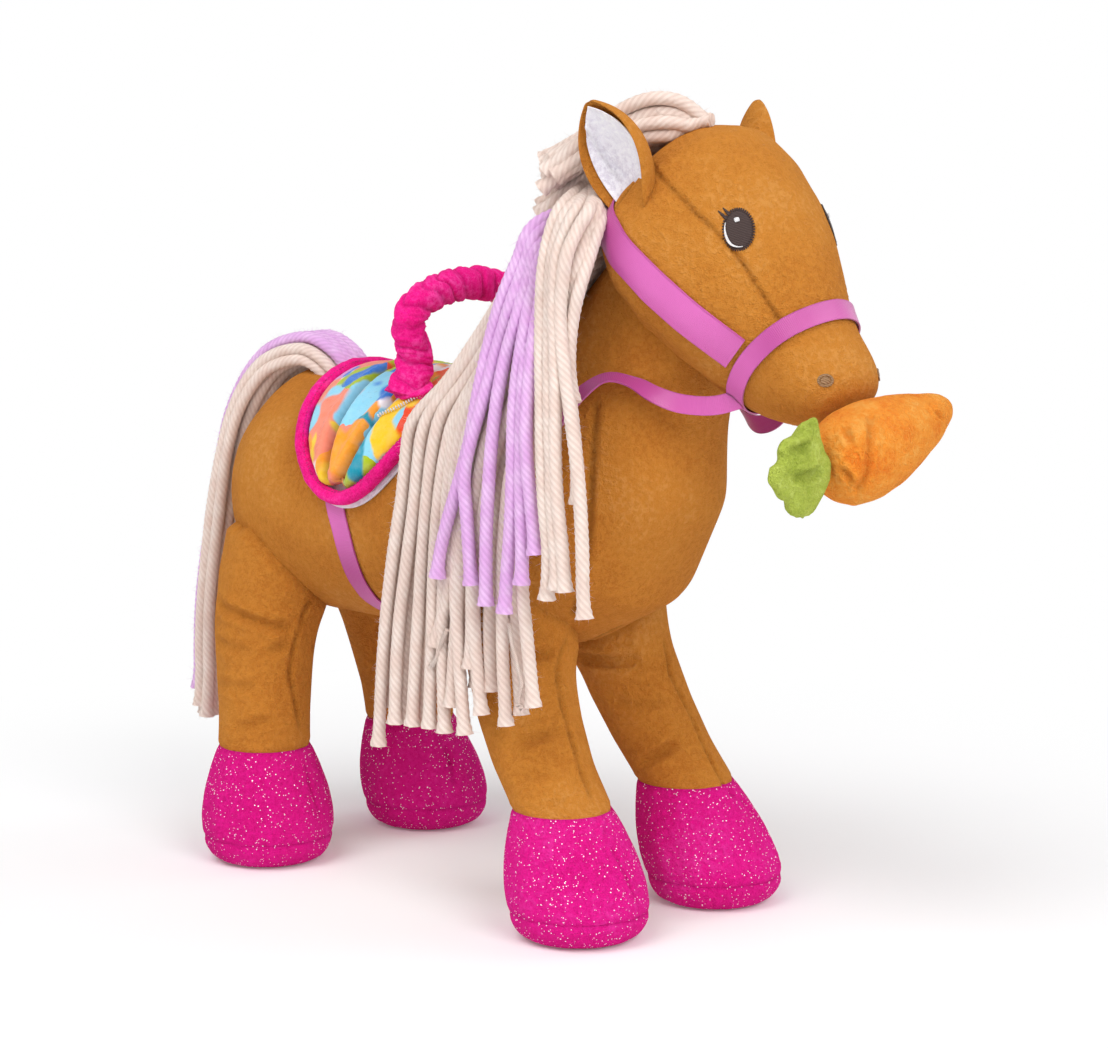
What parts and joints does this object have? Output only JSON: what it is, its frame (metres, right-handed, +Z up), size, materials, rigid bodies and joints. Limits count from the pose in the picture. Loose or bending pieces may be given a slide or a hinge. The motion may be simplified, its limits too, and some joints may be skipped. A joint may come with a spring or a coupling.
{
  "type": "plush toy horse",
  "caption": "Plush toy horse with a yarn mane and tail, ribbon bridle, padded saddle with a carrying handle, and a magnetic carrot at its mouth.",
  "frame": {"origin": "on the ground, under the middle of the toy's bounding box", "axes": "+X towards the nose, +Y to the horse's left, +Z up"},
  "size_m": [0.4094, 0.1554, 0.3352],
  "materials": {
    "body_filling": "white stuffing fibre",
    "body_skin": "caramel short plush",
    "carrot_filling": "white stuffing fibre",
    "carrot_leaves": "leaf green short plush",
    "carrot_magnet": "bare steel-grey disc magnet",
    "carrot_skin": "orange short plush",
    "cheek_ribbon": "orchid satin ribbon",
    "front_left_hoof": "hot pink plush with glitter dots",
    "front_left_leg_filling": "white stuffing fibre",
    "front_left_leg_skin": "caramel short plush",
    "front_left_sole": "hot pink plush with glitter dots",
    "front_right_hoof": "hot pink plush with glitter dots",
    "front_right_leg_filling": "white stuffing fibre",
    "front_right_leg_skin": "caramel short plush",
    "front_right_sole": "hot pink plush with glitter dots",
    "girth_ribbon": "orchid satin ribbon",
    "handle_core": "white stuffing fibre",
    "handle_cover": "hot pink velvet",
    "handle_left_foot": "hot pink velvet",
    "handle_right_foot": "hot pink velvet",
    "head_filling": "white stuffing fibre",
    "head_skin": "caramel short plush",
    "hind_left_hoof": "hot pink plush with glitter dots",
    "hind_left_leg_filling": "white stuffing fibre",
    "hind_left_leg_skin": "caramel short plush",
    "hind_left_sole": "hot pink plush with glitter dots",
    "hind_right_hoof": "hot pink plush with glitter dots",
    "hind_right_leg_filling": "white stuffing fibre",
    "hind_right_leg_skin": "caramel short plush",
    "hind_right_sole": "hot pink plush with glitter dots",
    "left_ear": "caramel short plush",
    "left_ear_lining": "white short plush",
    "left_eye": "dark brown embroidery",
    "left_nostril": "tan embroidery",
    "mane_cream": "soft cream yarn",
    "mane_crest": "soft cream yarn",
    "mane_lilac": "soft lilac yarn",
    "mouth_magnet": "bare steel-grey disc magnet",
    "noseband_ribbon": "orchid satin ribbon",
    "poll_tuft": "soft cream yarn",
    "reins": "orchid satin ribbon",
    "right_ear": "caramel short plush",
    "right_ear_lining": "white short plush",
    "right_eye": "dark brown embroidery",
    "right_nostril": "tan embroidery",
    "saddle_lining": "white short plush",
    "saddle_pad": "quilted plush with a watercolour flower print",
    "saddle_piping": "hot pink velvet",
    "tail_cream": "soft cream yarn",
    "tail_lilac": "soft lilac yarn"
  },
  "bodies": {
    "horse": {"body_filling": "body_filling", "body_skin": "body_skin", "cheek_ribbon": "cheek_ribbon", "front_left_hoof": "front_left_hoof", "front_left_leg_filling": "front_left_leg_filling", "front_left_leg_skin": "front_left_leg_skin", "front_left_sole": "front_left_sole", "front_right_hoof": "front_right_hoof", "front_right_leg_filling": "front_right_leg_filling", "front_right_leg_skin": "front_right_leg_skin", "front_right_sole": "front_right_sole", "girth_ribbon": "girth_ribbon", "handle_left_foot": "handle_left_foot", "handle_right_foot": "handle_right_foot", "head_filling": "head_filling", "head_skin": "head_skin", "hind_left_hoof": "hind_left_hoof", "hind_left_leg_filling": "hind_left_leg_filling", "hind_left_leg_skin": "hind_left_leg_skin", "hind_left_sole": "hind_left_sole", "hind_right_hoof": "hind_right_hoof", "hind_right_leg_filling": "hind_right_leg_filling", "hind_right_leg_skin": "hind_right_leg_skin", "hind_right_sole": "hind_right_sole", "left_ear": "left_ear", "left_ear_lining": "left_ear_lining", "left_eye": "left_eye", "left_nostril": "left_nostril", "mane_crest": "mane_crest", "mouth_magnet": "mouth_magnet", "noseband_ribbon": "noseband_ribbon", "poll_tuft": "poll_tuft", "reins": "reins", "right_ear": "right_ear", "right_ear_lining": "right_ear_lining", "right_eye": "right_eye", "right_nostril": "right_nostril", "saddle_lining": "saddle_lining", "saddle_pad": "saddle_pad", "saddle_piping": "saddle_piping"},
    "handle": {"handle_cover": "handle_cover", "handle_core": "handle_core"},
    "mane": {"mane_cream": "mane_cream", "mane_lilac": "mane_lilac"},
    "tail": {"tail_cream": "tail_cream", "tail_lilac": "tail_lilac"},
    "carrot_magnet": {"carrot_magnet": "carrot_magnet"},
    "carrot": {"carrot_skin": "carrot_skin", "carrot_filling": "carrot_filling", "carrot_leaves": "carrot_leaves"}
  },
  "joints": [
    {"name": "handle_tip", "type": "hinge", "parent": "horse", "child": "handle", "pos_m": [-0.03926, 0, 0.22059], "axis": [0, 1, 0], "range_deg": [-50, 50], "stiffness_Nm_per_rad": 0.05},
    {"name": "mane_lift", "type": "hinge", "parent": "horse", "child": "mane", "pos_m": [0.06623, -0.05192, 0.3], "axis": [-1, 0, 0], "range_deg": [0, 45]},
    {"name": "tail_lift", "type": "hinge", "parent": "horse", "child": "tail", "pos_m": [-0.11726, 0, 0.21855], "axis": [0, 1, 0], "range_deg": [0, 60]},
    {"name": "carrot_pull", "type": "slide", "parent": "horse", "child": "carrot_magnet", "axis": [0.757, 0.1827, -0.6274], "range_m": [0, 0.04], "stiffness_N_per_m": 20, "springref_m": -0.05},
    {"name": "carrot_turn", "type": "hinge", "parent": "carrot_magnet", "child": "carrot", "pos_m": [0.173, 0.00645, 0.22089], "axis": [0.757, 0.1827, -0.6274], "range_deg": [-40, 40]}
  ]
}
